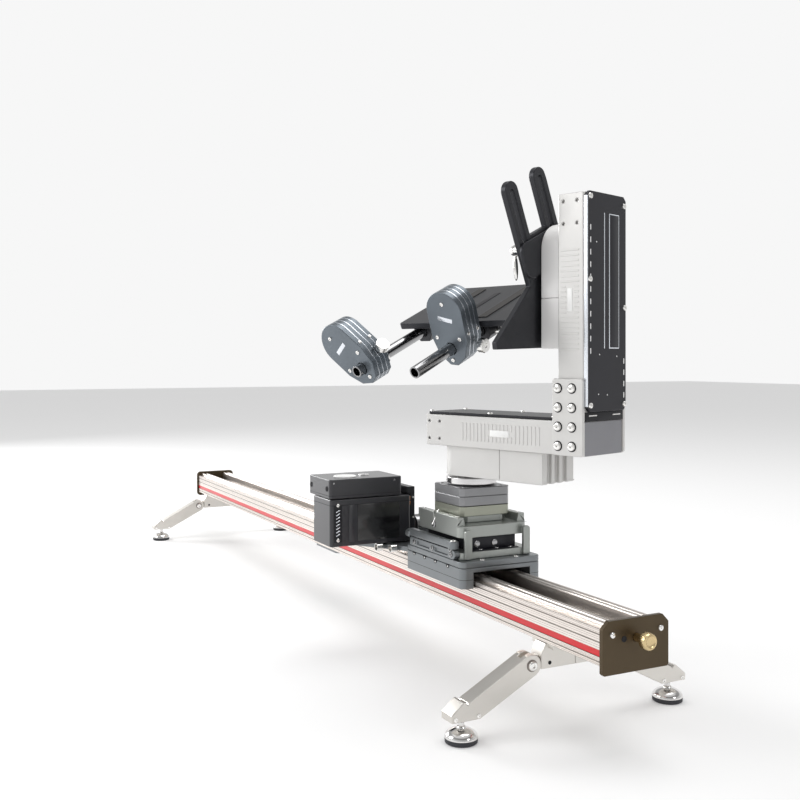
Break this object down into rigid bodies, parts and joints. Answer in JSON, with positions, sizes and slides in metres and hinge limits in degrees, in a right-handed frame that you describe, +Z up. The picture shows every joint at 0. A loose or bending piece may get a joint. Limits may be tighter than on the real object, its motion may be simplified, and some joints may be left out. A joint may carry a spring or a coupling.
{
  "type": "camera slider",
  "caption": "Motorised camera slider: extruded rail on folding legs, belt-driven carriage, pan and tilt head on an L-shaped arm, and a slotted camera bracket with rods and lens motors.",
  "frame": {"origin": "middle of the tripod plate's underside, 86 mm above the surface that the feet stand on", "axes": "+X along the rail towards the end with the tension knob, +Z up, -Y is the side the camera looks to"},
  "size_m": [1.5225, 0.3538, 0.6368],
  "materials": {
    "rail_aluminium": "satin, drawn lengthwise",
    "red_insert": "smooth",
    "end_plate_bronze": "dark anodised, satin",
    "nickel": "satin nickel",
    "brass_knob": "turned, knurled",
    "belt_rubber": "matt",
    "foot_chrome": "polished bell on a dark rubber pad",
    "grey_anodised": "grey anodised, satin",
    "stage_grey": "light grey anodised, satin",
    "black_plastic": "satin",
    "head_grey": "fine satin coat",
    "cover_black": "fine matt coat",
    "charcoal": "dark anodised, satin",
    "disc_silver": "turned, bright",
    "motor_blue": "blue-grey anodised, satin",
    "steel": "dark bright steel"
  },
  "bodies": {
    "rail_frame": {"rail": "rail_aluminium", "red_stripe_left": "red_insert", "red_stripe_right": "red_insert", "end_plate_near": "end_plate_bronze", "end_plate_far": "end_plate_bronze", "drive_belt": "belt_rubber", "tripod_plate": "grey_anodised", "leg_bracket_near_left": "nickel", "leg_bracket_near_right": "nickel", "leg_bracket_far_left": "nickel", "leg_bracket_far_right": "nickel"},
    "tension_knob": {"belt_tension_knob": "brass_knob"},
    "leg_near_left": {"leg_arm_near_left": "nickel"},
    "foot_screw_near_left": {"foot_near_left": "foot_chrome"},
    "leg_near_right": {"leg_arm_near_right": "nickel"},
    "foot_screw_near_right": {"foot_near_right": "foot_chrome"},
    "leg_far_left": {"leg_arm_far_left": "nickel"},
    "foot_screw_far_left": {"foot_far_left": "foot_chrome"},
    "leg_far_right": {"leg_arm_far_right": "nickel"},
    "foot_screw_far_right": {"foot_far_right": "foot_chrome"},
    "carriage": {"carriage_body": "grey_anodised", "carriage_top_plate": "grey_anodised", "power_shelf": "grey_anodised", "slide_motor": "steel", "battery_plate": "charcoal", "controller_box": "black_plastic", "clamp_base": "stage_grey", "clamp_side_plate": "grey_anodised", "clamp_top": "stage_grey", "stack_lower": "stage_grey", "stack_upper": "grey_anodised", "pan_disc": "disc_silver"},
    "track_roller_1": {"roller_1": "steel"},
    "track_roller_2": {"roller_2": "steel"},
    "track_roller_3": {"roller_3": "steel"},
    "track_roller_4": {"roller_4": "steel"},
    "pulley": {"drive_pulley": "steel"},
    "battery_pack": {"battery": "black_plastic"},
    "quick_release": {"clamp_lever": "grey_anodised"},
    "pan_head": {"pan_gear_housing": "head_grey", "pan_motor_housing": "head_grey", "horizontal_arm": "head_grey", "horizontal_arm_cover": "cover_black", "vertical_arm": "head_grey", "vertical_arm_cover": "cover_black", "joint_plate_front": "head_grey", "joint_plate_rear": "head_grey", "tilt_gear_housing": "head_grey", "tilt_motor_housing": "head_grey"},
    "tilt_output": {"tilt_hub": "charcoal"},
    "camera_mount": {"camera_bracket": "charcoal", "camera_plate": "charcoal", "rod_clamp": "charcoal", "rod_left": "steel", "rod_right": "steel"},
    "lever": {"lock_lever": "steel"},
    "motor_right": {"lens_motor_right": "motor_blue"},
    "gear_right": {"drive_gear_right": "black_plastic"},
    "motor_left": {"lens_motor_left": "motor_blue"},
    "gear_left": {"drive_gear_left": "black_plastic"}
  },
  "joints": [
    {"name": "tension_knob_turn", "type": "hinge", "parent": "rail_frame", "child": "tension_knob", "pos_m": [0.75, 0, 0.035], "axis": [1, 0, 0], "continuous": true},
    {"name": "leg_fold_near_left", "type": "hinge", "parent": "rail_frame", "child": "leg_near_left", "pos_m": [0.638, -0.059, -0.014], "axis": [1, 0, 0], "range_deg": [-45, 55]},
    {"name": "foot_level_near_left", "type": "slide", "parent": "leg_near_left", "child": "foot_screw_near_left", "axis": [0, 0, 1], "range_m": [-0.008, 0.008]},
    {"name": "leg_fold_near_right", "type": "hinge", "parent": "rail_frame", "child": "leg_near_right", "pos_m": [0.638, 0.059, -0.014], "axis": [1, 0, 0], "range_deg": [-55, 45]},
    {"name": "foot_level_near_right", "type": "slide", "parent": "leg_near_right", "child": "foot_screw_near_right", "axis": [0, 0, 1], "range_m": [-0.008, 0.008]},
    {"name": "leg_fold_far_left", "type": "hinge", "parent": "rail_frame", "child": "leg_far_left", "pos_m": [-0.685, -0.059, -0.014], "axis": [1, 0, 0], "range_deg": [-45, 55]},
    {"name": "foot_level_far_left", "type": "slide", "parent": "leg_far_left", "child": "foot_screw_far_left", "axis": [0, 0, 1], "range_m": [-0.008, 0.008]},
    {"name": "leg_fold_far_right", "type": "hinge", "parent": "rail_frame", "child": "leg_far_right", "pos_m": [-0.685, 0.059, -0.014], "axis": [1, 0, 0], "range_deg": [-55, 45]},
    {"name": "foot_level_far_right", "type": "slide", "parent": "leg_far_right", "child": "foot_screw_far_right", "axis": [0, 0, 1], "range_m": [-0.008, 0.008]},
    {"name": "carriage_slide", "type": "slide", "parent": "rail_frame", "child": "carriage", "axis": [1, 0, 0], "range_m": [-1.045, 0.235]},
    {"name": "roller_spin_1", "type": "hinge", "parent": "carriage", "child": "track_roller_1", "pos_m": [0.368, -0.027, 0.0563], "axis": [0, 1, 0], "continuous": true},
    {"name": "roller_spin_2", "type": "hinge", "parent": "carriage", "child": "track_roller_2", "pos_m": [0.368, 0.027, 0.0563], "axis": [0, 1, 0], "continuous": true},
    {"name": "roller_spin_3", "type": "hinge", "parent": "carriage", "child": "track_roller_3", "pos_m": [0.478, -0.027, 0.0563], "axis": [0, 1, 0], "continuous": true},
    {"name": "roller_spin_4", "type": "hinge", "parent": "carriage", "child": "track_roller_4", "pos_m": [0.478, 0.027, 0.0563], "axis": [0, 1, 0], "continuous": true},
    {"name": "pulley_spin", "type": "hinge", "parent": "carriage", "child": "pulley", "pos_m": [0.393, 0, 0.0482], "axis": [0, 1, 0], "continuous": true},
    {"name": "battery_slide", "type": "slide", "parent": "carriage", "child": "battery_pack", "axis": [-1, 0, 0], "range_m": [0, 0.07]},
    {"name": "clamp_lever_swing", "type": "hinge", "parent": "carriage", "child": "quick_release", "pos_m": [0.473, -0.0562, 0.0877], "axis": [0, 0, 1], "range_deg": [0, 90]},
    {"name": "pan", "type": "hinge", "parent": "carriage", "child": "pan_head", "pos_m": [0.423, 0, 0.184], "axis": [0, 0, 1], "range_deg": [-180, 180]},
    {"name": "tilt", "type": "hinge", "parent": "pan_head", "child": "tilt_output", "pos_m": [0.56566, 0.04635, 0.451], "axis": [0.9511, 0.309, 0], "range_deg": [-84, 24]},
    {"name": "bracket_height", "type": "slide", "parent": "tilt_output", "child": "camera_mount", "axis": [0.1257, -0.3868, 0.9135], "range_m": [-0.012, 0.012]},
    {"name": "lock_lever_turn", "type": "hinge", "parent": "tilt_output", "child": "lever", "pos_m": [0.55143, -0.01341, 0.44954], "axis": [0.9511, 0.309, 0], "range_deg": [-60, 60]},
    {"name": "lens_motor_swing_right", "type": "hinge", "parent": "camera_mount", "child": "motor_right", "pos_m": [0.49563, -0.06173, 0.33824], "axis": [0.2823, -0.8688, -0.4067], "range_deg": [-20, 20]},
    {"name": "drive_gear_spin_right", "type": "hinge", "parent": "motor_right", "child": "gear_right", "pos_m": [0.5005, -0.06117, 0.38789], "axis": [0.2823, -0.8688, -0.4067], "range_deg": [-180, 180]},
    {"name": "lens_motor_swing_left", "type": "hinge", "parent": "camera_mount", "child": "motor_left", "pos_m": [0.41746, -0.14476, 0.31384], "axis": [0.2823, -0.8688, -0.4067], "range_deg": [-20, 20]},
    {"name": "drive_gear_spin_left", "type": "hinge", "parent": "motor_left", "child": "gear_left", "pos_m": [0.38517, -0.15063, 0.3514], "axis": [0.2823, -0.8688, -0.4067], "range_deg": [-180, 180]}
  ],
  "couplings": [
    {"joint": "roller_spin_1", "follows": "carriage_slide", "rad_per_m": 192.31},
    {"joint": "roller_spin_2", "follows": "carriage_slide", "rad_per_m": 192.31},
    {"joint": "roller_spin_3", "follows": "carriage_slide", "rad_per_m": 192.31},
    {"joint": "roller_spin_4", "follows": "carriage_slide", "rad_per_m": 192.31},
    {"joint": "pulley_spin", "follows": "carriage_slide", "rad_per_m": 101.01}
  ]
}
